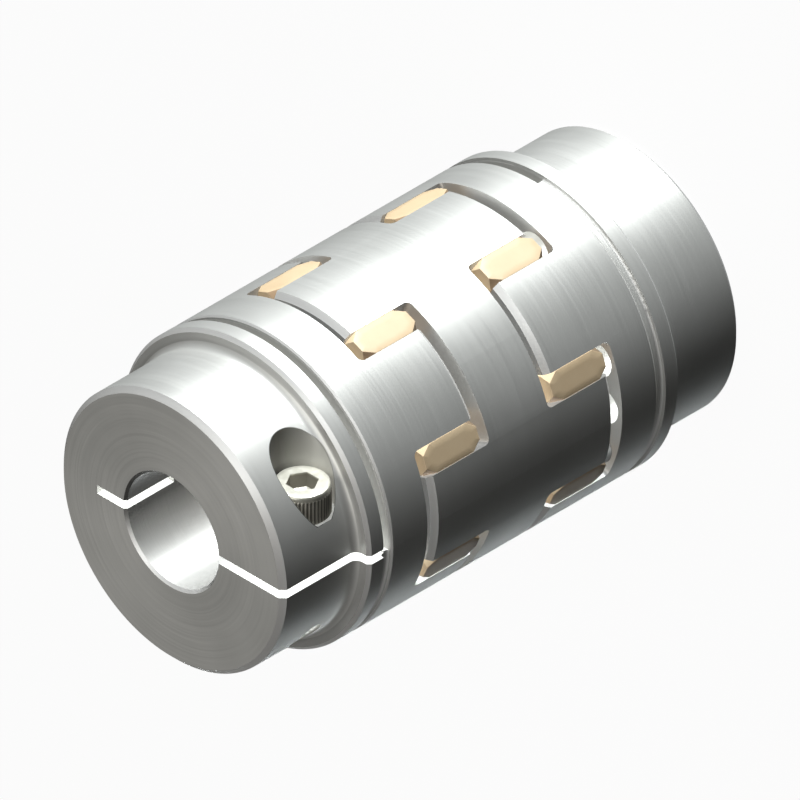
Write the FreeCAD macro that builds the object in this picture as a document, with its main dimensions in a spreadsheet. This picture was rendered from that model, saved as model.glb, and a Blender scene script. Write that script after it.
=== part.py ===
import FreeCAD, Part
import math
import os
import Sketcher
from FreeCAD import Placement, Rotation, Vector

# Double elastomer coupling: two clamping hubs, a centre piece with jaws on both ends and two spiders.
# Millimetres. +Z is the shaft axis and the far hub stands on its end face at Z = 0.

doc = FreeCAD.newDocument("ElastomerCoupling")

# Driving sizes: name, value, what it measures
DRIVING = [
    ("body_diameter", 60.0, "hubs, jaws and centre piece, outside"),
    ("nose_step", 3.15, "how far the clamping end is turned down below the ring"),
    ("jaw_count", 4, "jaws on a hub and on each end of the centre piece"),
    ("bore_diameter", 22.0, "shaft bore of a hub"),
    ("hub_length", 31.6, "hub's end face to the floor between its jaws"),
    ("jaw_length", 14.7, "floor to jaw tip"),
    ("tip_gap", 1.7, "jaw tip to the opposite floor"),
    ("web_length", 14.0, "centre piece between its two floors"),
    ("web_bore_diameter", 24.0, "hole through the centre piece"),
    ("jaw_inner_diameter", 36.0, "space inside the jaws, for the spider's ring"),
    ("jaw_tip_chamfer", 1.0, "outer edge of each jaw tip"),
    ("floor_radius", 1.1, "corner between a jaw's flank and the floor"),
    ("slot_overlap", 0.1, "where the two slots of a gap between jaws meet"),
    ("end_chamfer", 1.0, "outer edge of a hub's end face"),
    ("bore_chamfer", 0.5, "edge of the bore"),
    ("nose_length", 17.6, "end face to the shoulder of the ring"),
    ("nose_fillet", 1.6, "concave corner where the nose meets the ring"),
    ("ring_width", 3.5, "shoulder to the groove"),
    ("ring_chamfer", 0.65, "front edge of the ring"),
    ("groove_width", 1.9, "groove turned round the hub behind the ring"),
    ("groove_depth", 1.0, "groove, in from the outside"),
    ("groove_corner", 0.7, "rounding at the bottom of the groove"),
    ("groove_chamfer", 0.35, "edge of the groove on the jaw side"),
    ("saw_width", 1.7, "cross cut that frees the clamping half"),
    ("saw_past_axis", 0.5, "how far the cross cut runs past the axis"),
    ("slit_width", 1.7, "clamping slit and relief slit"),
    ("relief_reach", 17.8, "relief slit's end, from the axis"),
    ("relief_depth", 11.6, "relief slit, in from the end face"),
    ("screw_inset", 6.85, "clamp screw's axis in from the nose's outside"),
    ("screw_height", 11.5, "clamp screw's axis from the end face"),
    ("seat_distance", 8.8, "screw head's seat from the slit's middle"),
    ("head_play", 0.6, "screw's head to its counterbore, all round"),
    ("shank_play", 0.3, "screw to the hole from the seat to the slit, all round"),
    ("thread_play", 0.05, "screw to the tapped hole, all round"),
    ("balance_diameter", 6.8, "blind holes that balance the cross cut"),
    ("balance_depth", 6.5, "balance holes, down from the floor"),
    ("balance_inset", 4.4, "their middles in from the outside"),
    ("balance_angle", 24.8, "degrees from a jaw's middle to the hole beside it"),
    ("tooth_width", 5.4, "spider tooth between two jaws"),
    ("tooth_end_gap", 1.85, "tooth's end to the floor"),
    ("tooth_corner_across", 1.5, "corner cuts at a tooth's outer face, round the shaft"),
    ("tooth_corner_along", 2.05, "corner cuts at a tooth's outer face, along the shaft"),
    ("tooth_corner_depth", 2.5, "how far in these slanting cuts run out"),
    ("tooth_play", 0.05, "tooth to flank, each side"),
    ("tooth_sink", 0.15, "tooth's outer face below the jaws"),
    ("ring_play", 0.8, "spider's ring to the inside of the jaws"),
    ("spider_ring_wall", 5.0, "thickness of the spider's ring"),
    ("ring_end_gap", 3.2, "spider's ring to the floor, each end"),
    ("thread_diameter", 6.0, "clamp screw's thread"),
    ("screw_length", 20.0, "clamp screw under its head"),
    ("head_diameter", 10.0, "clamp screw's head"),
    ("head_height", 6.0, "clamp screw's head"),
    ("head_chamfer", 0.45, "top edge of the head"),
    ("point_chamfer", 0.7, "end of the thread"),
    ("socket_width", 5.0, "hexagon socket across its flats"),
    ("socket_depth", 3.0, "hexagon socket"),
    ("overcut", 2.0, "how far a cut runs past the surface"),
]

# Sizes that follow from them
DERIVED = [
    ("body_radius", "=body_diameter / 2"),
    ("nose_radius", "=body_radius - nose_step"),
    ("bore_radius", "=bore_diameter / 2"),
    ("web_bore_radius", "=web_bore_diameter / 2"),
    ("jaw_inner_radius", "=jaw_inner_diameter / 2"),
    ("stage_length", "=jaw_length + tip_gap"),
    ("total_length", "=2 * hub_length + 2 * stage_length + web_length"),
    ("tip_height", "=hub_length + jaw_length"),
    ("tip_edge_height", "=tip_height - jaw_tip_chamfer"),
    ("tip_edge_radius", "=body_radius - jaw_tip_chamfer"),
    ("bore_edge_radius", "=bore_radius + bore_chamfer"),
    ("floor_edge_height", "=hub_length - bore_chamfer"),
    ("nose_edge_radius", "=nose_radius - end_chamfer"),
    ("ring_edge_radius", "=body_radius - ring_chamfer"),
    ("ring_edge_height", "=nose_length + ring_chamfer"),
    ("groove_start", "=nose_length + ring_width"),
    ("groove_end", "=groove_start + groove_width"),
    ("groove_radius", "=body_radius - groove_depth"),
    ("groove_lip_radius", "=body_radius - groove_chamfer"),
    ("groove_lip_height", "=groove_end + groove_chamfer"),
    ("saw_start", "=groove_start + (groove_width - saw_width) / 2"),
    ("saw_middle", "=saw_start + saw_width / 2"),
    ("slit_side", "=slit_width / 2"),
    ("outside", "=body_radius + overcut"),
    ("above_tips", "=tip_height + overcut"),
    ("screw_offset", "=nose_radius - screw_inset"),
    ("counterbore_diameter", "=head_diameter + 2 * head_play"),
    ("clearance_diameter", "=thread_diameter + 2 * shank_play"),
    ("tapped_diameter", "=thread_diameter + 2 * thread_play"),
    ("balance_radius", "=body_radius - balance_inset"),
    ("flank", "=tooth_width / 2 + tooth_play"),
    ("tooth_angle", "=90 / jaw_count"),
    ("slot_side", "=body_radius * sin(tooth_angle * 1 deg) + slot_overlap"),
    ("web_side", "=web_length / 2"),
    ("web_edge", "=web_side - bore_chamfer"),
    ("web_bore_edge_radius", "=web_bore_radius + bore_chamfer"),
    ("centre_tip", "=web_side + jaw_length"),
    ("centre_tip_edge", "=centre_tip - jaw_tip_chamfer"),
    ("above_centre_tips", "=centre_tip + overcut"),
    ("stage_middle", "=hub_length + stage_length / 2"),
    ("spider_ring_radius", "=jaw_inner_radius - ring_play"),
    ("spider_hole_radius", "=spider_ring_radius - spider_ring_wall"),
    ("spider_ring_middle", "=spider_ring_radius - spider_ring_wall / 2"),
    ("spider_ring_side", "=stage_length / 2 - ring_end_gap"),
    ("tooth_side", "=tooth_width / 2"),
    ("tooth_half", "=stage_length / 2 - tooth_end_gap"),
    ("tooth_top", "=body_radius - tooth_sink"),
    ("tooth_reach", "=tooth_top - spider_ring_middle"),
    ("corner_diagonal", "=sqrt(tooth_corner_across ^ 2 + tooth_corner_along ^ 2)"),
    ("corner_bevel", "=tooth_corner_across * tooth_corner_along / corner_diagonal"),
    ("corner_middle", "=(tooth_side * tooth_corner_along + tooth_half * tooth_corner_across) / corner_diagonal"),
    ("corner_margin", "=overcut * corner_bevel / tooth_corner_depth"),
    ("corner_inner", "=corner_middle - corner_bevel - corner_margin"),
    ("corner_outer", "=corner_middle + corner_margin"),
    ("corner_top", "=tooth_top + overcut"),
    ("corner_bottom", "=tooth_top - tooth_corner_depth - overcut"),
    ("corner_cut_length", "=2 * tooth_half"),
    ("thread_radius", "=thread_diameter / 2"),
    ("point_radius", "=thread_radius - point_chamfer"),
    ("point_start", "=screw_length - point_chamfer"),
    ("head_radius", "=head_diameter / 2"),
    ("head_edge_radius", "=head_radius - head_chamfer"),
    ("head_edge_height", "=head_height - head_chamfer"),
    ("socket_side", "=socket_width / 2"),
    ("socket_corner", "=socket_width / sqrt(3)"),
    ("socket_half_corner", "=socket_corner / 2"),
]

sheet = doc.addObject("Spreadsheet::Sheet", "Sizes")
for row, (name, value, note) in enumerate(DRIVING, 1):
    sheet.set(f"A{row}", note)
    sheet.set(f"B{row}", str(value))
    sheet.setAlias(f"B{row}", name)
for row, (name, formula) in enumerate(DERIVED, len(DRIVING) + 1):
    sheet.set(f"A{row}", name.replace("_", " "))
    sheet.setAlias(f"B{row}", name)
    sheet.set(f"B{row}", formula)
doc.recompute()


def size(name):
    """The value of a named size; a leading minus sign turns it round and "0" is zero."""
    if name == "0":
        return 0.0
    if name.startswith("-"):
        return -float(sheet.get(name[1:]))
    return float(sheet.get(name))


def origin_plane(body, role):
    return next(plane for plane in body.Origin.OriginFeatures if plane.Role == role)


def new_body(label):
    body = doc.addObject("PartDesign::Body", label)
    body.Label = label
    return body


def new_sketch(body, role, turn=0.0, turn_axis=Vector(0, 0, 1), shift=None):
    """A sketch on one of the body's origin planes, turned in place and moved along the plane's normal."""
    sketch = body.newObject("Sketcher::SketchObject", "Sketch")
    sketch.AttachmentSupport = (origin_plane(body, role), [""])
    sketch.MapMode = "FlatFace"
    sketch.AttachmentOffset = Placement(Vector(0, 0, 0), Rotation(turn_axis, turn))
    if shift:
        sign = "-" if shift.startswith("-") else ""
        sketch.setExpression("AttachmentOffset.Base.z", sign + "Sizes." + shift.lstrip("-"))
    return sketch


def pin(sketch, geometry, end, across, up):
    """Ties a point of the sketch to two named sizes, measured from the origin."""
    for kind, name, axis in (("DistanceX", across, -2), ("DistanceY", up, -1)):
        if name == "0":
            sketch.addConstraint(Sketcher.Constraint("PointOnObject", geometry, end, axis))
            continue
        if name.startswith("-"):
            tie = Sketcher.Constraint(kind, geometry, end, -1, 1, -size(name))
        else:
            tie = Sketcher.Constraint(kind, -1, 1, geometry, end, size(name))
        number = sketch.addConstraint(tie)
        sketch.setExpression(f"Constraints[{number}]", "Sizes." + name.lstrip("-"))


def outline(sketch, corners):
    """A closed outline through named corners; a corner with a third name is rounded to that radius."""
    count = len(corners)
    points = [Vector(size(corner[0]), size(corner[1]), 0) for corner in corners]
    leave, arrive = list(points), list(points)
    for i, corner in enumerate(corners):
        if len(corner) == 3:
            back = (points[i - 1] - points[i]).normalize()
            ahead = (points[(i + 1) % count] - points[i]).normalize()
            setback = size(corner[2]) / math.tan(back.getAngle(ahead) / 2)
            arrive[i] = points[i] + back * setback
            leave[i] = points[i] + ahead * setback
    sides = [
        sketch.addGeometry(Part.LineSegment(leave[i], arrive[(i + 1) % count]), False) for i in range(count)
    ]
    for i, corner in enumerate(corners):
        before, after = sides[i - 1], sides[i]
        if len(corner) == 2:
            sketch.addConstraint(Sketcher.Constraint("Coincident", before, 2, after, 1))
            pin(sketch, after, 1, corner[0], corner[1])
            continue
        radius = size(corner[2])
        middle = (arrive[i] + leave[i]) * 0.5
        inward = (middle - points[i]).normalize()
        half = (arrive[i] - leave[i]).Length / 2
        centre = middle + inward * math.sqrt(max(radius**2 - half**2, 0.0))
        left_turn = (arrive[i] - points[i - 1]).cross(leave[i] - arrive[i]).z > 0
        first, last = (arrive[i], leave[i]) if left_turn else (leave[i], arrive[i])
        angles = [math.atan2(p.y - centre.y, p.x - centre.x) for p in (first, last)]
        circle = Part.Circle(centre, Vector(0, 0, 1), radius)
        arc = sketch.addGeometry(Part.ArcOfCircle(circle, angles[0], angles[1]), False)
        corner_point = sketch.addGeometry(Part.Point(points[i]), True)
        pin(sketch, corner_point, 1, corner[0], corner[1])
        sketch.addConstraint(Sketcher.Constraint("PointOnObject", corner_point, 1, before))
        sketch.addConstraint(Sketcher.Constraint("PointOnObject", corner_point, 1, after))
        arc_start, arc_end = (1, 2) if left_turn else (2, 1)
        sketch.addConstraint(Sketcher.Constraint("Tangent", before, 2, arc, arc_start))
        sketch.addConstraint(Sketcher.Constraint("Tangent", arc, arc_end, after, 1))
        number = sketch.addConstraint(Sketcher.Constraint("Radius", arc, radius))
        sketch.setExpression(f"Constraints[{number}]", "Sizes." + corner[2])


def rectangle(sketch, left, bottom, right, top):
    outline(sketch, [(left, bottom), (right, bottom), (right, top), (left, top)])


def circle(sketch, across, up, diameter):
    middle = Vector(size(across), size(up), 0)
    ring = sketch.addGeometry(Part.Circle(middle, Vector(0, 0, 1), size(diameter) / 2))
    pin(sketch, ring, 3, across, up)
    number = sketch.addConstraint(Sketcher.Constraint("Diameter", ring, size(diameter)))
    sketch.setExpression(f"Constraints[{number}]", "Sizes." + diameter)


def extrude(body, kind, sketch, length, along_normal, name):
    """A Pad or a Pocket; along_normal says which side of the sketch it goes to."""
    feature = body.newObject("PartDesign::" + kind, name)
    feature.Profile = sketch
    feature.Type = "Length"
    feature.setExpression("Length", "Sizes." + length)
    feature.Reversed = along_normal if kind == "Pocket" else not along_normal
    return feature


def turn(body, sketch, name):
    feature = body.newObject("PartDesign::Revolution", name)
    feature.Profile = sketch
    feature.ReferenceAxis = (sketch, ["V_Axis"])
    feature.Angle = 360.0
    return feature


def repeat_round(body, features, times_per_jaw, name):
    """Repeats features evenly round the body's own Z axis, once or twice for each jaw."""
    pattern = body.newObject("PartDesign::PolarPattern", name)
    pattern.Originals = features
    z_axis = next(axis for axis in body.Origin.OriginFeatures if axis.Role == "Z_Axis")
    pattern.Axis = (z_axis, [""])
    pattern.Angle = 360.0
    pattern.Occurrences = times_per_jaw * int(size("jaw_count"))
    body.Tip = pattern
    return pattern


def mill_gaps(body, middle_angle, floor, top, name):
    """Mills the gaps between the jaws. Each gap holds two teeth and one jaw of the other piece,
    and is two straight slots, each with one wall parallel to its tooth and a rounded floor corner."""
    slots = []
    for side, word in ((1, "Upper"), (-1, "Lower")):
        sketch = new_sketch(body, "YZ_Plane", middle_angle + side * size("tooth_angle"), Vector(0, 1, 0))
        wall, far_side = ("flank", "-slot_side") if side > 0 else ("-flank", "slot_side")
        outline(sketch, [(far_side, floor), (wall, floor, "floor_radius"), (wall, top), (far_side, top)])
        slots.append(extrude(body, "Pocket", sketch, "outside", True, f"{name}{word}Slot"))
    return repeat_round(body, slots, 1, name + "Gaps")


# Clamping hub: a turned blank, milled jaws, a cross cut and two slits that free its clamping half


def make_hub(label):
    """A hub with its end face at Z = 0, its jaws up, its slit on +X and its screw's head on -Y."""
    body = new_body(label)
    profile = new_sketch(body, "XZ_Plane")
    outline(
        profile,
        [
            ("bore_radius", "bore_chamfer"),
            ("bore_edge_radius", "0"),
            ("nose_edge_radius", "0"),
            ("nose_radius", "end_chamfer"),
            ("nose_radius", "nose_length", "nose_fillet"),
            ("ring_edge_radius", "nose_length"),
            ("body_radius", "ring_edge_height"),
            ("body_radius", "groove_start"),
            ("groove_radius", "groove_start", "groove_corner"),
            ("groove_radius", "groove_end", "groove_corner"),
            ("groove_lip_radius", "groove_end"),
            ("body_radius", "groove_lip_height"),
            ("body_radius", "tip_edge_height"),
            ("tip_edge_radius", "tip_height"),
            ("jaw_inner_radius", "tip_height"),
            ("jaw_inner_radius", "hub_length"),
            ("bore_edge_radius", "hub_length"),
            ("bore_radius", "floor_edge_height"),
        ],
    )
    turn(body, profile, "TurnedBlank")
    doc.recompute()
    mill_gaps(body, 0.0, "hub_length", "above_tips", "Jaw")

    slit = new_sketch(body, "XY_Plane")
    rectangle(slit, "0", "-slit_side", "outside", "slit_side")
    extrude(body, "Pocket", slit, "saw_middle", True, "ClampingSlit")

    relief = new_sketch(body, "XY_Plane")
    rectangle(relief, "-relief_reach", "-slit_side", "0", "slit_side")
    extrude(body, "Pocket", relief, "relief_depth", True, "ReliefSlit")

    saw = new_sketch(body, "XY_Plane", shift="saw_start")
    rectangle(saw, "-outside", "-outside", "outside", "saw_past_axis")
    extrude(body, "Pocket", saw, "saw_width", True, "CrossCut")

    seat = new_sketch(body, "XZ_Plane", shift="seat_distance")
    circle(seat, "screw_offset", "screw_height", "counterbore_diameter")
    extrude(body, "Pocket", seat, "outside", True, "Counterbore")

    clearance = new_sketch(body, "XZ_Plane")
    circle(clearance, "screw_offset", "screw_height", "clearance_diameter")
    extrude(body, "Pocket", clearance, "seat_distance", True, "ClearanceHole")

    thread = new_sketch(body, "XZ_Plane")
    circle(thread, "screw_offset", "screw_height", "tapped_diameter")
    extrude(body, "Pocket", thread, "outside", False, "TappedHole")

    jaw_angle = 180.0 / size("jaw_count")
    beside_jaw = size("balance_angle")
    beside_both = [jaw + step for jaw in (-jaw_angle, jaw_angle) for step in (-beside_jaw, beside_jaw)]
    for angle in [0.0] + beside_both:
        hole = new_sketch(body, "XY_Plane", turn=angle, shift="hub_length")
        circle(hole, "0", "balance_radius", "balance_diameter")
        extrude(body, "Pocket", hole, "balance_depth", False, "BalanceHole")
    return body


# Centre piece: a short tube with jaws on both ends


def make_centre_piece(label):
    """The centre piece about its own middle, with its jaws turned half a pitch from the hubs' jaws."""
    body = new_body(label)
    profile = new_sketch(body, "XZ_Plane")
    outline(
        profile,
        [
            ("web_bore_radius", "-web_edge"),
            ("web_bore_edge_radius", "-web_side"),
            ("jaw_inner_radius", "-web_side"),
            ("jaw_inner_radius", "-centre_tip"),
            ("tip_edge_radius", "-centre_tip"),
            ("body_radius", "-centre_tip_edge"),
            ("body_radius", "centre_tip_edge"),
            ("tip_edge_radius", "centre_tip"),
            ("jaw_inner_radius", "centre_tip"),
            ("jaw_inner_radius", "web_side"),
            ("web_bore_edge_radius", "web_side"),
            ("web_bore_radius", "web_edge"),
        ],
    )
    turn(body, profile, "TurnedBlank")
    doc.recompute()
    jaw_angle = 180.0 / size("jaw_count")
    mill_gaps(body, jaw_angle, "web_side", "above_centre_tips", "NearJaw")
    doc.recompute()
    mill_gaps(body, jaw_angle, "-web_side", "-above_centre_tips", "FarJaw")
    return body


# Spider: a ring of elastomer with a tooth between each pair of jaws


def cut_corner(body, angle):
    """Cuts a corner of the tooth on +X by a slanting plane that runs out further in. The sketch
    lies across the cut: along +X, and out from the tooth's middle to the corner at that angle."""
    sketch = new_sketch(body, "XY_Plane", angle, Vector(1, 0, 0))
    outline(
        sketch,
        [
            ("corner_bottom", "corner_outer"),
            ("corner_top", "corner_inner"),
            ("corner_top", "corner_outer"),
        ],
    )
    cut = extrude(body, "Pocket", sketch, "corner_cut_length", False, "Corner")
    cut.Midplane = True
    return cut


def make_spider(label):
    """A spider about its own middle, with a tooth on +X."""
    body = new_body(label)
    profile = new_sketch(body, "XZ_Plane")
    rectangle(profile, "spider_hole_radius", "-spider_ring_side", "spider_ring_radius", "spider_ring_side")
    turn(body, profile, "Ring")
    doc.recompute()
    section = new_sketch(body, "YZ_Plane", shift="spider_ring_middle")
    rectangle(section, "-tooth_side", "-tooth_half", "tooth_side", "tooth_half")
    tooth = extrude(body, "Pad", section, "tooth_reach", True, "Tooth")
    repeat_round(body, [tooth], 2, "Teeth")
    lean = math.degrees(math.atan2(size("tooth_corner_across"), size("tooth_corner_along")))
    corners = [cut_corner(body, angle) for angle in (lean, 180 - lean, 180 + lean, -lean)]
    repeat_round(body, corners, 2, "Corners")
    return body


# Clamp screw: a socket head cap screw


def make_screw(label):
    """A screw along Z with its head's seat at Z = 0 and its head up; two socket corners lie on X."""
    body = new_body(label)
    profile = new_sketch(body, "XZ_Plane")
    outline(
        profile,
        [
            ("0", "-screw_length"),
            ("point_radius", "-screw_length"),
            ("thread_radius", "-point_start"),
            ("thread_radius", "0"),
            ("head_radius", "0"),
            ("head_radius", "head_edge_height"),
            ("head_edge_radius", "head_height"),
            ("0", "head_height"),
        ],
    )
    turn(body, profile, "TurnedBlank")
    socket = new_sketch(body, "XY_Plane", shift="head_height")
    outline(
        socket,
        [
            ("socket_corner", "0"),
            ("socket_half_corner", "socket_side"),
            ("-socket_half_corner", "socket_side"),
            ("-socket_corner", "0"),
            ("-socket_half_corner", "-socket_side"),
            ("socket_half_corner", "-socket_side"),
        ],
    )
    extrude(body, "Pocket", socket, "socket_depth", False, "Socket")
    return body


# Assembly


def along_shaft(height, turn_axis=Vector(0, 0, 1), angle=0.0):
    return Placement(Vector(0, 0, height), Rotation(turn_axis, angle))


far_hub_place = along_shaft(0, angle=-90)
near_hub_place = along_shaft(size("total_length"), Vector(1, 0, 0), 180)
screw_seat = Vector(size("screw_offset"), size("-seat_distance"), size("screw_height"))
screw_in_hub = Placement(screw_seat, Rotation(Vector(1, 0, 0), 90))
near_stage_middle = size("total_length") - size("stage_middle")

pieces = {
    "far_hub": (make_hub, far_hub_place),
    "far_clamp_screw": (make_screw, far_hub_place * screw_in_hub),
    "far_spider": (make_spider, along_shaft(size("stage_middle"), angle=size("tooth_angle"))),
    "centre_piece": (make_centre_piece, along_shaft(size("total_length") / 2)),
    "near_spider": (make_spider, along_shaft(near_stage_middle, angle=size("tooth_angle"))),
    "near_hub": (make_hub, near_hub_place),
    "near_clamp_screw": (make_screw, near_hub_place * screw_in_hub),
}
bodies = {}
for label, (make, place) in pieces.items():
    body = make(label)
    body.Placement = place
    bodies[label] = body
doc.recompute()

# Checks, then one file for each piece

for item in doc.Objects:
    if "Invalid" in item.State or "Error" in item.State:
        raise RuntimeError(f"{item.Name} ({item.Label}) did not build: {item.State}")
os.makedirs("parts", exist_ok=True)
for label, body in bodies.items():
    shape = body.Shape
    if shape.isNull() or not shape.isValid() or len(shape.Solids) != 1:
        raise RuntimeError(f"{label} is not one valid solid")
    shape.exportStep(f"parts/{label}.step")
    box = shape.BoundBox
    print(f"{label}: {shape.Volume:.1f} mm3, Z {box.ZMin:.2f} to {box.ZMax:.2f}, {len(shape.Faces)} faces")
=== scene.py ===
"""Double elastomer coupling: two split clamping hubs, a centre piece and two elastomer spiders."""

import math

import bpy
import numpy as np
from mathutils import Matrix, Vector


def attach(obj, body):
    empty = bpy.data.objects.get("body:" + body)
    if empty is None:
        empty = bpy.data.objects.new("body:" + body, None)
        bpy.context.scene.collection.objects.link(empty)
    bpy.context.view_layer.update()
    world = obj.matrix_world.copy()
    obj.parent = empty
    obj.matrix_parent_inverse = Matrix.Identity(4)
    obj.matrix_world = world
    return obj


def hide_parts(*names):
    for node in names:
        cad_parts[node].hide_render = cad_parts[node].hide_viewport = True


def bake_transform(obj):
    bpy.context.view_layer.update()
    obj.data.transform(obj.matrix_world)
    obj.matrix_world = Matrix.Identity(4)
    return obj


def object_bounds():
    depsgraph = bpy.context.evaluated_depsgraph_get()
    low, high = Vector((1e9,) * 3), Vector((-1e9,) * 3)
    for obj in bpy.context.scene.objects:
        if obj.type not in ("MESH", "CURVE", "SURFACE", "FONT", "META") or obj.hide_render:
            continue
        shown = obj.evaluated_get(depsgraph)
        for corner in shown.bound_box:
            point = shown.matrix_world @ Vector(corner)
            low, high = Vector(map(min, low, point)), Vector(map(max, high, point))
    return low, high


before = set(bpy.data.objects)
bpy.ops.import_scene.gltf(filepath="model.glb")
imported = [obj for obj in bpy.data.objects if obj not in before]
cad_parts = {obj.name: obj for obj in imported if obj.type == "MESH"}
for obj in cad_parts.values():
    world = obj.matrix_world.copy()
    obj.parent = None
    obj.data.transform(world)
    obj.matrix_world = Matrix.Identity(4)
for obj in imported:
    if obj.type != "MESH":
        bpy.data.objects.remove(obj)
cad_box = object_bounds()


# The view. An isometric one from the near hub's side, turned so that the shaft's line runs
# from the lower left to the upper right. The coupling stands on the far hub's end face.

MM = 0.001
picture_width, eye_distance = 136 * MM, 800 * MM
to_viewer = Vector((1, 1, 1)).normalized()
picture_up = Vector((-1, 2, -1)).normalized()
picture_right = picture_up.cross(to_viewer)
box_middle = (cad_box[0] + cad_box[1]) / 2
camera_data = bpy.data.cameras.new("camera")
camera_data.type = "ORTHO"
camera_data.ortho_scale = picture_width
camera = bpy.data.objects.new("camera", camera_data)
bpy.context.scene.collection.objects.link(camera)
camera_turn = Matrix((picture_right, picture_up, to_viewer)).transposed().to_4x4()
camera.matrix_world = Matrix.Translation(box_middle + to_viewer * eye_distance) @ camera_turn
bpy.context.scene.camera = camera
bpy.context.scene.view_settings.view_transform = "Standard"


# Hubs and centre piece. Each is turned from an aluminium bar; its jaws, cross cut and slit are
# milled and sawn afterwards. The tool leaves fine circles about the shaft on what is turned,
# and straight lines on what is cut.


class Shade:
    """A node's output. Python's operators on it add Math nodes."""

    def __init__(self, tree, socket):
        self.tree = tree
        self.socket = socket

    def node(self, kind, settings, sockets, output=0):
        """Adds a node, sets its settings, fills its sockets, and gives one of its outputs."""
        made = self.tree.nodes.new(kind)
        for name, value in settings.items():
            setattr(made, name, value)
        for name, value in sockets.items():
            if isinstance(value, Shade):
                self.tree.links.new(value.socket, made.inputs[name])
            else:
                made.inputs[name].default_value = value
        return Shade(self.tree, made.outputs[output]) if made.outputs else None

    def math(self, operation, *terms, clamp=False):
        """A Math node on these terms."""
        settings = {"operation": operation, "use_clamp": clamp}
        return self.node("ShaderNodeMath", settings, dict(enumerate(terms)))

    def __add__(self, other):
        return self.math("ADD", self, other)

    def __sub__(self, other):
        return self.math("SUBTRACT", self, other)

    def __rsub__(self, other):
        return self.math("SUBTRACT", other, self)

    def __mul__(self, other):
        return self.math("MULTIPLY", self, other)

    def __truediv__(self, other):
        return self.math("DIVIDE", self, other)

    __radd__ = __add__
    __rmul__ = __mul__

    def size(self):
        """Its value without the sign."""
        return self.math("ABSOLUTE", self)

    def root(self):
        """Its square root."""
        return self.math("SQRT", self)

    def or_more(self, other):
        """The larger of the two."""
        return self.math("MAXIMUM", self, other)

    def above(self, level, softness=0.05):
        """0 below the level, 1 above it, with a slope as wide as the softness."""
        return self.math("MULTIPLY", self - level, 1 / softness, clamp=True)

    def below(self, level, softness=0.05):
        """1 below the level, 0 above it, with the same slope."""
        return 1 - self.above(level, softness)

    def between(self, low, high, softness=0.05):
        """1 from the low level to the high one, 0 outside them."""
        return self.above(low, softness) * self.below(high, softness)

    def parts(self):
        """A vector's X, Y and Z."""
        split = self.node("ShaderNodeSeparateXYZ", {}, {0: self}).socket.node
        return [Shade(self.tree, output) for output in split.outputs]

    def point(self, x, y, z):
        """The vector of these three."""
        return self.node("ShaderNodeCombineXYZ", {}, {0: x, 1: y, 2: z})

    def noise(self, detail, roughness):
        """Cloudy noise over this vector, about 0.5, one blot per unit."""
        sockets = {"Vector": self, "Scale": 1.0, "Detail": detail, "Roughness": roughness}
        return self.node("ShaderNodeTexNoise", {"noise_dimensions": "3D"}, sockets)

    def mix(self, first, second):
        """First colour where this is 0, second where it is 1."""
        sockets = {0: self, 6: first, 7: second}
        return self.node("ShaderNodeMix", {"data_type": "RGBA"}, sockets, output=2)

    def bump(self, height_of_one):
        """A normal for a surface raised by that height where this is 1."""
        sockets = {"Height": self, "Distance": height_of_one, "Strength": 1.0}
        return self.node("ShaderNodeBump", {}, sockets)


def from_line(a, b):
    """Distance from a line: the root of the summed squares of the two distances across it."""
    return (a * a + b * b).root()


def finish(name):
    """A new material: its place in the frame in mm and its normal, both as three parts, a
    function for noise with so many blots per mm each way, and the call that closes it."""
    material = bpy.data.materials.new(name)
    material.use_nodes = True
    tree = material.node_tree
    tree.nodes.clear()
    coordinates = tree.nodes.new("ShaderNodeTexCoord")
    place = [part / MM for part in Shade(tree, coordinates.outputs["Object"]).parts()]
    facing = Shade(tree, coordinates.outputs["Normal"]).parts()

    def blots(per_mm, detail, roughness, along=place):
        """Noise over the place, or over another point, times so many blots per mm each way."""
        stretched = [part * share for part, share in zip(along, per_mm)]
        return place[0].point(*stretched).noise(detail, roughness)

    def close(**sockets):
        """The material, with its shader's sockets filled."""
        named = {key.replace("_", " "): value for key, value in sockets.items()}
        surface = place[0].node("ShaderNodeBsdfPrincipled", {}, named)
        place[0].node("ShaderNodeOutputMaterial", {}, {"Surface": surface})
        return material

    return place, facing, blots, close


# Limits that tell the faces apart, in mm: radii, distances from the coupling's middle, and
# heights of the gaps between the jaws.
bore_limit, passage_limit, end_face_limit = 11.9, 12.4, 20
nose_limit, rim_limit, body_limit = 26.9, 28.9, 29.95
shoulder_limit, end_limit = 24, 53.9
near_gap, far_gap = (62.3, 78.3), (31.7, 47.7)
half_length, never_zero = 55, 0.001

(x, y, z), (facing_x, facing_y, facing_z), blots, close = finish("turned_aluminium")
radius = from_line(x, y)
from_middle = (z - half_length).size()
sideways = ((x * facing_y - y * facing_x) / (radius + never_zero)).size()
outwards = ((x * facing_x + y * facing_y) / (radius + never_zero)).size()
endways = facing_z.size()

# Tool marks. What faces round the shaft is milled; the rest is turned. The circles follow the
# height plus the radius times a weight, so that they show on the end faces too.
radius_weight = 1.37
milled = sideways.above(0.55, 0.15)
turning_marks = blots((0.03, 0.03, 2.4), 3.0, 0.6, (x, y, z + radius * radius_weight))
milling_marks = blots((0.3, 0.3, 2.6), 2.0, 0.5)
patches = blots((0.07, 0.07, 0.07), 2.0, 0.5)
marks = turning_marks * (1 - milled) + milling_marks * milled

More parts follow.
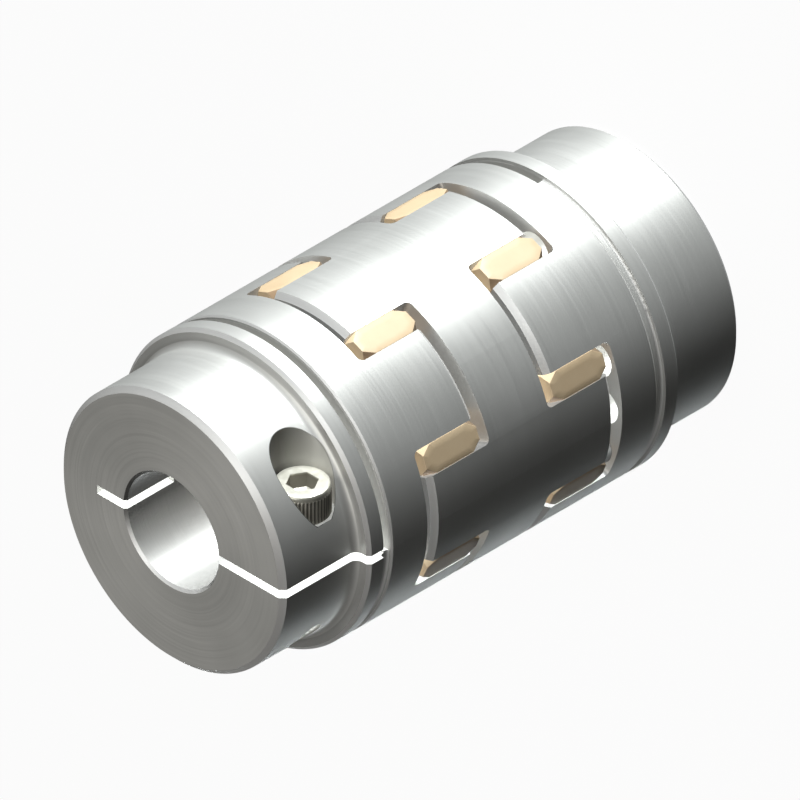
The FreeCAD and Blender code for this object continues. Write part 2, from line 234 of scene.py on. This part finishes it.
# Screw pockets and bores. Their walls carry painted shade: a bore's has a painted highlight
# where it faces the main lamp, and a pocket's keeps its plain tone where it faces up.
clean = patches.above(0.35, 0.4).mix((0.76, 0.757, 0.735, 1), (0.80, 0.795, 0.775, 1))
pocket_shade, bore_shade, bore_highlight = (0.24, 0.235, 0.225, 1), (0.13, 0.128, 0.124, 1), (0.66, 0.655, 0.64, 1)
screw_offset, pocket_start, pocket_radius = 20, 8.7, 5.65
screw_heights = {"near": 98.5, "far": 11.5}
from_near_screw = from_line(x - screw_offset, z - screw_heights["near"])
from_far_screw = from_line(y + screw_offset, z - screw_heights["far"])
near_pocket = y.above(pocket_start) * from_near_screw.below(pocket_radius)
far_pocket = (0 - x).above(pocket_start) * from_far_screw.below(pocket_radius)
bore = radius.below(bore_limit) * endways.below(0.85)
lampwards = facing_x * 0.26 + facing_y * 0.97
# painted highlight on the bore's side towards the main lamp, painted shade on the other
bore_shade_and_highlight = lampwards.above(0.42, 0.5).mix(bore_shade, bore_highlight)
pocket_painted_shade = facing_z.above(0, 1.2).mix(pocket_shade, clean)
tone = (near_pocket + far_pocket).mix(bore.mix(clean, bore_shade_and_highlight), pocket_painted_shade)

# Shoulders beside the ring and groove: painted shade, a little darker than the faces beside them.
shaded = (0.52, 0.517, 0.505, 1)
shoulder = endways.above(0.9) * radius.above(nose_limit) * from_middle.above(shoulder_limit, 0.1)
tone = shoulder.mix(tone, shaded)

# Flanks, tips and floors between the jaws: painted shade, darker further in.
gap_shade, deep_gap_shade = (0.42, 0.42, 0.42, 1), (0.20, 0.20, 0.20, 1)
between_jaws = z.between(*near_gap, 0.2) + z.between(*far_gap, 0.2)
between_jaws = between_jaws * radius.above(passage_limit, 0.1)
tone = (radius.below(body_limit, 0.02) * between_jaws).mix(tone, gap_shade)
tone = (radius.below(nose_limit, 0.8) * between_jaws).mix(tone, deep_gap_shade)

# The last of the balance holes in the floor of the far hub's gap on the +X side has painted
# shade: its wall is as dark as the floor.
hole_shade = (0.10, 0.10, 0.097, 1)
hole_x, hole_y, hole_radius, hole_bottom, hole_top = 24.03, -8.84, 3.45, 24.5, 31.6
last_hole = from_line(x - hole_x, y - hole_y).below(hole_radius)
last_hole = last_hole * z.between(hole_bottom, hole_top, 0.01)
tone = last_hole.mix(tone, hole_shade)

# Chamfers at the jaws' tips and the ring, round both noses, and at the bores' mouths where
# they face the main lamp, carry a painted highlight.
bright = (0.97, 0.96, 0.95, 1)
chamfer = endways.between(0.5, 0.82, 0.1) * outwards.above(0.4, 0.1)
at_ends = radius.above(end_face_limit).or_more(lampwards.above(0.2, 0.3))
at_ends = at_ends * from_middle.above(end_limit)
tone = (chamfer * radius.above(rim_limit).or_more(at_ends)).mix(tone, bright)

aluminium = close(
    Base_Color=tone,
    Metallic=0.6,
    Roughness=0.49 + (marks - 0.5) * 0.22 + (patches - 0.5) * 0.1,
    Anisotropic=0.2,
    Anisotropic_Rotation=0.25,
    Normal=marks.bump(0.018 * MM),
)
for name in ("near_hub", "far_hub", "centre_piece"):
    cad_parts[name].data.materials.clear()
    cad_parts[name].data.materials.append(aluminium)


# Spiders. Each is one moulding of pale cream polyurethane: a ring with eight teeth, which fill
# the spaces between the jaws. A tooth is squeezed between a hub's jaw and the centre piece's.

# The teeth carry painted shade further in and on what faces down. Their slanting corners carry
# painted light, cream, on one side and painted shade on the other.
tooth_shade, cream, corner_shaded = (0.30, 0.215, 0.14, 1), (1.0, 0.79, 0.53, 1), (0.50, 0.34, 0.21, 1)
outer_start, outer_slope = 24.2, 0.8
(x, y, z), (facing_x, facing_y, facing_z), blots, close = finish("cream_polyurethane")
radius = from_line(x, y)
cloud = blots((0.16, 0.16, 0.16), 3.0, 0.55)
grain = blots((2.5, 2.5, 2.5), 2.0, 0.5)
moulded = cloud.above(0.3, 0.4).mix((0.79, 0.595, 0.38, 1), (0.85, 0.66, 0.435, 1))
leftwards = (x * facing_y - y * facing_x) / (radius + never_zero)
slanting = facing_z.above(0.3, 0.15) * facing_z.below(0.75, 0.1)
surface = slanting.mix(moulded, leftwards.above(-0.3, 0.6).mix(corner_shaded, cream))
# painted shade on the teeth further in and on what faces down
outer = radius.above(outer_start, outer_slope) * (0 - facing_z).below(0.3, 0.2)
polyurethane = close(
    Base_Color=outer.mix(tooth_shade, surface),
    Roughness=0.40 + (cloud - 0.5) * 0.2,
    Normal=(cloud * 0.5 + grain).bump(0.008 * MM),
)

stage_middles = {"near": 70.2, "far": 39.8}
tooth_count, first_tooth = 8, math.radians(22.5)
tooth_half_width, tooth_half_length = 2.7, 6.35
tooth_root, tooth_waist, tooth_top, tooth_edge, tooth_bend = 14.7, 22, 29.85, 0.07, 0.08
corner_across, corner_along, corner_depth, least_cut = 1.5, 2.05, 2.5, 0.2
ring_inside, ring_outside, ring_half_length, ring_edge = 12.2, 17.2, 5.0, 0.6
sharp_angle = math.radians(28)


def new_piece(name, points, faces):
    """A smooth piece with its edges sharp, from points in mm and the faces' point numbers."""
    mesh = bpy.data.meshes.new(name)
    mesh.from_pydata((points * MM).tolist(), [], faces)
    mesh.shade_smooth()
    mesh.set_sharp_from_angle(angle=sharp_angle)
    piece = bpy.data.objects.new(name, mesh)
    bpy.context.scene.collection.objects.link(piece)
    return piece


def grid_piece(name, points, rows_closed=False):
    """A piece from a (rows, columns, 3) grid of points. Columns close on themselves. Rows do
    too, or else the first and last row are one point each, which becomes one vertex. Faces
    point to the left of the way that the rows go, seen with the columns going right."""
    rows, columns = points.shape[:2]
    number = np.arange(rows * columns).reshape(rows, columns)
    if rows_closed:
        number = np.vstack([number, number[:1]])
    else:
        number[0, :] = number[0, 0]
        number[-1, :] = number[-1, 0]
    here, beside = number, np.roll(number, -1, axis=1)
    quads = np.stack([here[:-1], beside[:-1], beside[1:], here[1:]], axis=-1)
    if rows_closed:
        faces = quads.reshape(-1, 4).tolist()
    else:
        faces = quads[0][:, [0, 2, 3]].tolist()
        faces += quads[1:-1].reshape(-1, 4).tolist()
        faces += quads[-1][:, [0, 1, 2]].tolist()
    used, faces_at = np.unique(np.concatenate([np.ravel(f) for f in faces]), return_inverse=True)
    ends = np.cumsum([len(f) for f in faces])
    faces = [part.tolist() for part in np.split(faces_at, ends[:-1])]
    return new_piece(name, points.reshape(-1, 3)[used], faces)


def rounded_outline(corners, cut_back, per_run, per_bend=4):
    """A closed outline through straight runs, with each corner swept from one run into the next
    by a parabola that starts that far before the corner."""
    corners = np.array(corners, float)
    after = np.roll(corners, -1, axis=0)
    before = np.roll(corners, 1, axis=0)
    out = (after - corners) / np.linalg.norm(after - corners, axis=1, keepdims=True)
    back = (before - corners) / np.linalg.norm(before - corners, axis=1, keepdims=True)
    t = np.linspace(0, 1, per_bend)[:, None, None]
    bend = (
        (1 - t) ** 2 * (corners + back * cut_back)
        + 2 * t * (1 - t) * corners
        + t**2 * (corners + out * cut_back)
    )
    s = np.linspace(0, 1, per_run + 2)[1:-1, None, None]
    run = (corners + out * cut_back) * (1 - s) + (after - out * cut_back) * s
    return np.concatenate([bend, run]).transpose(1, 0, 2).reshape(-1, 2)


def directions(angle):
    """Unit vectors away from the shaft and round it, at that angle from X."""
    return (
        np.array([math.cos(angle), math.sin(angle), 0]),
        np.array([-math.sin(angle), math.cos(angle), 0]),
    )


def tooth(name, middle, angle):
    """Sections across a tooth, from its root to its outer face. Each is a rectangle with cut
    corners. The cuts grow over the last few millimetres, so the corners are slanting planes."""
    levels = [  # radius, outline drawn in by (mm; None for a point)
        (tooth_root, None),
        (tooth_root, 0),
        (tooth_waist, 0),
        (tooth_top - (1 - least_cut) * corner_depth, 0),
        (tooth_top - tooth_edge, 0),
        (tooth_top - 0.3 * tooth_edge, 0.3 * tooth_edge),
        (tooth_top, tooth_edge),
        (tooth_top, 0.5 * tooth_half_width),
        (tooth_top, None),
    ]
    outward, around = directions(angle)
    half_sizes = np.array([tooth_half_width, tooth_half_length])
    rows = []
    for reach, inset in levels:
        cut = max(least_cut, 1 - (tooth_top - reach) / corner_depth)
        side = tooth_half_width - cut * corner_across
        end = tooth_half_length - cut * corner_along
        corners = [
            (tooth_half_width, -end),
            (tooth_half_width, end),
            (side, tooth_half_length),
            (-side, tooth_half_length),
            (-tooth_half_width, end),
            (-tooth_half_width, -end),
            (-side, -tooth_half_length),
            (side, -tooth_half_length),
        ]
        section = rounded_outline(corners, tooth_bend, per_run=4)
        section = section * (0 if inset is None else 1 - inset / half_sizes)
        rows.append(
            reach * outward
            + section[:, :1] * around
            + (section[:, 1:] + middle) * np.array([0, 0, 1])
        )
    return grid_piece(name, np.array(rows))


def spider_ring(name, middle, columns=96):
    """A rounded rectangle turned about the shaft."""
    half = (ring_outside - ring_inside) / 2
    corners = [
        (half, -ring_half_length),
        (half, ring_half_length),
        (-half, ring_half_length),
        (-half, -ring_half_length),
    ]
    section = rounded_outline(corners, ring_edge, per_run=1)
    turn = np.linspace(0, 2 * math.pi, columns, endpoint=False)
    out = section[:, :1] + ring_inside + half
    height = section[:, 1:] + middle + 0 * turn
    points = np.stack([out * np.cos(turn), out * np.sin(turn), height], axis=-1)
    return grid_piece(name, points, rows_closed=True)


for end, middle in stage_middles.items():
    ring = spider_ring(f"{end}_spider_ring", middle)
    ring.data.materials.append(polyurethane)
    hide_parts(f"{end}_spider")
    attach(ring, f"{end}_spider")
    for k in range(tooth_count):
        angle = first_tooth + 2 * math.pi * k / tooth_count
        piece = tooth(f"{end}_spider_tooth_{k + 1}", middle, angle)
        piece.data.materials.append(polyurethane)
        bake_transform(piece)


# Clamp screws. M6 socket head screws of bright zinc-plated steel, with a knurled head and a
# rolled thread. Each pulls the two lips of its hub together across the slit.

seat_height = 8.8
screw_seats = {  # middle of the seat, way up the screw, way across it
    "near": ((screw_offset, seat_height, screw_heights["near"]), (0, 1, 0), (1, 0, 0)),
    "far": ((-seat_height, -screw_offset, screw_heights["far"]), (-1, 0, 0), (0, -1, 0)),
}
thread_crest, thread_root, thread_pitch, screw_length = 3.0, 2.46, 1.0, 20.0
point_radius, head_radius, head_height = 2.2, 5.0, 6.0
knurl_ribs, knurl_depth = 48, 0.17
socket_flat, socket_floor, socket_mouth = 2.5, 3.0, 1.025
# how much of the plating's tone shows; the knurl's roots and the socket get painted shade
knurl_root_unshaded, knurl_crest_unshaded, socket_unshaded = 0.2, 0.65, 0.45


def ridge(share):
    """1 at a ridge's crest and 0 at its root, straight between, with a narrow flat on both."""
    return np.clip(1.25 * np.abs(2 * (share % 1) - 1) - 0.125, 0, 1)


def screw_surface():
    """(rows, columns) of radius, height, turn and unshaded share; the knurl's roots and the socket
    get painted shade. The outline goes from the point's middle up the thread, out under the head,
    up its side, in over its top and down the socket. A helical ridge, upright ribs and a six-sided
    hole change its radius with the turn."""
    turn = np.linspace(0, 2 * math.pi, knurl_ribs * 4, endpoint=False)[None]
    thread_heights = np.arange(-screw_length + 0.15, -0.45, thread_pitch / 6)
    outline = {  # radius and height of each row, in mm; the hexagon gives its own radius
        "point": [(0, -screw_length), (point_radius, -screw_length)],
        "thread": [(thread_crest, h) for h in thread_heights],
        "neck": [(2.95, -0.3), (3.02, -0.1), (3.2, 0), (4.6, 0), (4.86, 0), (4.94, 0.06)],
        "knurl": [(head_radius, h) for h in (0.15, 1.8, 3.3, 4.75)],
        "crown": [
            (4.92, 4.95), (4.95, 5.1), (4.95, 5.45), (4.88, 5.72),
            (4.74, 5.92), (4.5, head_height), (3.9, head_height),
        ],
        "mouth": [(0, head_height)],
        "lip": [(0, 5.93)],
        "socket": [(0, 5.6), (0, 4.4), (0, socket_floor)],
        "drill": [(1.4, socket_floor - 0.2), (0, socket_floor - 0.9)],
    }
    row = np.repeat(list(outline), [len(points) for points in outline.values()])[:, None]
    radius, height = np.array(sum(outline.values(), [])).T[:, :, None]
    radius, height, turn = np.broadcast_arrays(radius, height, turn)
    helix = ridge(height / thread_pitch - turn / (2 * math.pi))
    cut_thread = thread_root + (thread_crest - thread_root) * helix
    tapered_thread = np.minimum(cut_thread, point_radius + (height + screw_length))
    ribs = ridge(turn * knurl_ribs / (2 * math.pi))
    hexagon = socket_flat / np.cos((turn % (math.pi / 3)) - math.pi / 6)
    shaped = np.select(
        [row == "thread", row == "knurl", row == "mouth", (row == "lip") | (row == "socket")],
        [tapered_thread, radius + knurl_depth * (ribs - 0.6), hexagon * socket_mouth, hexagon],
        radius,
    )
    rib_unshaded = knurl_root_unshaded + (knurl_crest_unshaded - knurl_root_unshaded) * ribs
    inside = (row == "socket") | (row == "drill")
    unshaded_share = np.select([row == "knurl", inside], [rib_unshaded, socket_unshaded + 0 * turn], 1.0)
    return shaped, height, turn, unshaded_share


def on_screw(seat, up, side, out, height, turn):
    """Points so far out from the screw's axis, so high over its seat and at that turn about it:
    the seat, plus height times up, plus out times the turn's cosine across and sine along."""
    seat, up, side = (np.array(vector, float) for vector in (seat, up, side))
    along = np.cross(up, side)
    return (
        seat
        + height[..., None] * up
        + (out * np.cos(turn))[..., None] * side
        + (out * np.sin(turn))[..., None] * along
    )


# painted shade for the knurl's roots and the screw's socket
screw_shade = (0.10, 0.085, 0.07, 1)
(x, y, z), facing, blots, close = finish("bright_steel")
attribute = x.tree.nodes.new("ShaderNodeAttribute")
attribute.attribute_name = "unshaded_share"
unshaded_share = Shade(x.tree, attribute.outputs["Fac"])
speckle = blots((0.9, 0.9, 0.9), 2.0, 0.5)
plating = speckle.above(0.3, 0.4).mix((0.72, 0.70, 0.61, 1), (0.80, 0.78, 0.70, 1))
steel = close(
    Base_Color=unshaded_share.above(0.1, 0.8).mix(screw_shade, plating),
    Metallic=0.6,
    Roughness=0.36 + (speckle - 0.5) * 0.2,
    Normal=speckle.bump(0.006 * MM),
)

for end, (seat, up, side) in screw_seats.items():
    out, height, turn, unshaded_share = screw_surface()
    screw = grid_piece(f"{end}_clamp_screw_detailed", on_screw(seat, up, side, out, height, turn))
    shares = np.concatenate([unshaded_share[0, :1], unshaded_share[1:-1].ravel(), unshaded_share[-1, :1]])
    attribute = screw.data.attributes.new("unshaded_share", "FLOAT", "POINT")
    attribute.data.foreach_set("value", shares.astype(np.float32))
    screw.data.materials.append(steel)
    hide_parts(f"{end}_clamp_screw")
    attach(screw, f"{end}_hub")


# Tapped holes. Each screw's thread is tapped through the hub's lower lip; what of it the screw
# leaves free shows at its mouth, on the hub's nose.

tapped_root, tapped_crest, tapped_start, nose_radius = 3.03, 2.56, -20.3, 26.85
tapped_fade, tapped_overlap = 0.5, 0.05


def tapped_surface(seat, up, side, rows=60, columns=64):
    """A helical ridge on a tube's inside, from just past the screw's point to where the nose's
    cylinder cuts the tube. The ridge runs out at the mouth."""
    turn = np.linspace(0, 2 * math.pi, columns, endpoint=False)[None]
    from_shaft = np.dot(seat, side)
    wall = abs(from_shaft) + tapped_root * np.cos(turn) * np.sign(from_shaft)
    mouth = -np.sqrt(nose_radius**2 - wall**2) - np.dot(seat, up)
    share = np.linspace(0, 1, rows)[:, None]
    height = tapped_start + (mouth + tapped_overlap - tapped_start) * share
    fade = np.clip((height - mouth) / tapped_fade, 0, 1)
    helix = ridge(height / thread_pitch - turn / (2 * math.pi))
    out = tapped_root - (tapped_root - tapped_crest) * helix * fade
    return on_screw(seat, up, side, out, height, turn)


def tube_piece(name, points):
    """An open tube from a grid of points, with its faces turned inwards."""
    number = np.arange(points.shape[0] * points.shape[1]).reshape(points.shape[:2])
    beside = np.roll(number, -1, axis=1)
    quads = np.stack([number[:-1], number[1:], beside[1:], beside[:-1]], axis=-1)
    return new_piece(name, points.reshape(-1, 3), quads.reshape(-1, 4).tolist())


for end, (seat, up, side) in screw_seats.items():
    tapping = tube_piece(f"{end}_tapped_thread", tapped_surface(seat, up, side))
    tapping.data.materials.append(aluminium)
    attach(tapping, f"{end}_hub")


# Floor and light. A plain pale floor in a white room, which only the camera sees as white; the
# metal mirrors it dark. Lamps with soft edges stand round the coupling. Only one throws a
# shadow, so that bore, slit and pocket show their walls.

floor_half = 6.0
floor_seen, floor_unseen, floor_glow = (0.9, 0.9, 0.9, 1), (0.03, 0.03, 0.03, 1), 0.95
floor_mesh = bpy.data.meshes.new("floor")
floor_mesh.from_pydata(
    [(floor_half * i, floor_half * j, 0) for i, j in ((-1, -1), (1, -1), (1, 1), (-1, 1))],
    [],
    [(0, 1, 2, 3)],
)
floor = bpy.data.objects.new("floor", floor_mesh)
bpy.context.scene.collection.objects.link(floor)
floor_finish = bpy.data.materials.new("pale_floor")
floor_finish.use_nodes = True
tree = floor_finish.node_tree
tree.nodes.clear()
seen = Shade(tree, tree.nodes.new("ShaderNodeLightPath").outputs["Is Camera Ray"])
matt = seen.node("ShaderNodeBsdfDiffuse", {}, {"Color": seen.mix(floor_unseen, floor_seen)})
glow = seen.node("ShaderNodeEmission", {}, {"Color": (1, 1, 1, 1), "Strength": 1.0})
pale = seen.node("ShaderNodeMixShader", {}, {0: seen * floor_glow, 1: matt, 2: glow})
pale.node("ShaderNodeOutputMaterial", {}, {"Surface": pale})
floor_mesh.materials.append(floor_finish)

room_light, room_seen = 0.015, 0.975
room = bpy.data.worlds.new("room")
bpy.context.scene.world = room
room.use_nodes = True
tree = room.node_tree
seen = Shade(tree, tree.nodes.new("ShaderNodeLightPath").outputs["Is Camera Ray"])
background = tree.nodes["Background"]
background.inputs["Color"].default_value = (1, 1, 1, 1)
tree.links.new((room_light + seen * room_seen).socket, background.inputs["Strength"])

lamp_distance = 0.9
cool, warm, bluish = (0.96, 1.0, 1.0), (1.0, 0.98, 0.93), (0.92, 0.985, 1.0)
lamps = [
    # name, azimuth, elevation, width, height, level on a white surface, colour, shadow
    ("main_lamp", 97.5, -15, 0.45, 0.4, 1.57, cool, False),
    ("edge_lamp", 60, 54, 0.3, 0.3, 0.12, cool, False),
    ("top_lamp", 45, 88, 0.5, 0.5, 0.17, warm, False),
    ("shadow_lamp", 60, 85, 0.5, 0.5, 0.21, warm, True),
    ("rim_lamp", 256, -24, 0.75, 0.4, 0.115, bluish, False),
]
for name, azimuth, elevation, width, height, level, colour, shadow in lamps:
    data = bpy.data.lights.new(name, "AREA")
    data.shape = "RECTANGLE"
    data.size, data.size_y = width, height
    data.energy = level * math.pi**2 * lamp_distance**2
    data.color = colour
    data.use_shadow = shadow
    # a ray that finds the lamp by chance would still be stopped by a piece in its way
    data.cycles.use_multiple_importance_sampling = shadow
    lamp = bpy.data.objects.new(name, data)
    a, e = math.radians(azimuth), math.radians(elevation)
    towards = Vector((math.cos(a) * math.cos(e), math.sin(a) * math.cos(e), math.sin(e)))
    lamp.location = box_middle + towards * lamp_distance
    lamp.rotation_mode = "QUATERNION"
    lamp.rotation_quaternion = towards.to_track_quat("Z", "Y")
    lamp.visible_camera = False
    bpy.context.scene.collection.objects.link(lamp)
